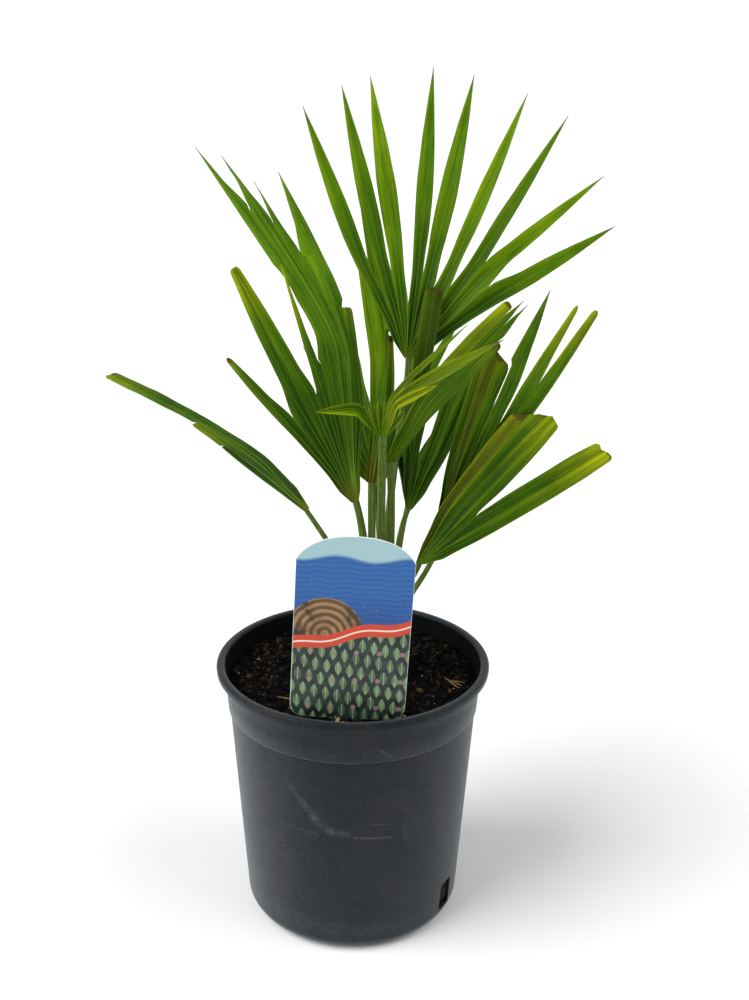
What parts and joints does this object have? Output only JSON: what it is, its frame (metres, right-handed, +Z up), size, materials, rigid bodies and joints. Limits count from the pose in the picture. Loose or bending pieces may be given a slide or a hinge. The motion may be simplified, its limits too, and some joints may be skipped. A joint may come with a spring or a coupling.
{
  "type": "potted palm",
  "caption": "Young windmill palm with upright fan-shaped fronds on slim stalks, rooted in a round, tapered black nursery pot with a plain plastic plant label.",
  "frame": {"origin": "centre of the pot's flat underside", "axes": "+Z up along the pot's axis, -Y towards the label's side, +X to the right as seen from there"},
  "size_m": [0.3632, 0.2751, 0.5751],
  "materials": {
    "pot": "moulded, dusty, lightly scuffed",
    "soil": "loose, moist peat with fine fibres",
    "label": "printed plastic card",
    "stem": "wrapped in brown fibre",
    "stalk": "smooth, semi-gloss",
    "foliage": "leathery, semi-gloss, finely veined"
  },
  "bodies": {
    "root": {"pot": "pot", "soil": "soil", "label": "label", "stem": "stem", "stalk_top": "stalk", "stalk_middle": "stalk", "stalk_left": "stalk", "stalk_low_left": "stalk", "stalk_centre": "stalk", "stalk_right": "stalk", "stalk_low_right": "stalk", "stalk_young": "stalk", "stalk_inner": "stalk", "stalk_back": "stalk", "stalk_back_left": "stalk", "stalk_back_right": "stalk", "frond_top": "foliage", "frond_middle": "foliage", "frond_left": "foliage", "frond_low_left": "foliage", "frond_centre": "foliage", "frond_right": "foliage", "frond_low_right": "foliage", "frond_young": "foliage", "frond_inner": "foliage", "frond_back": "foliage", "frond_back_left": "foliage", "frond_back_right": "foliage"}
  },
  "joints": []
}
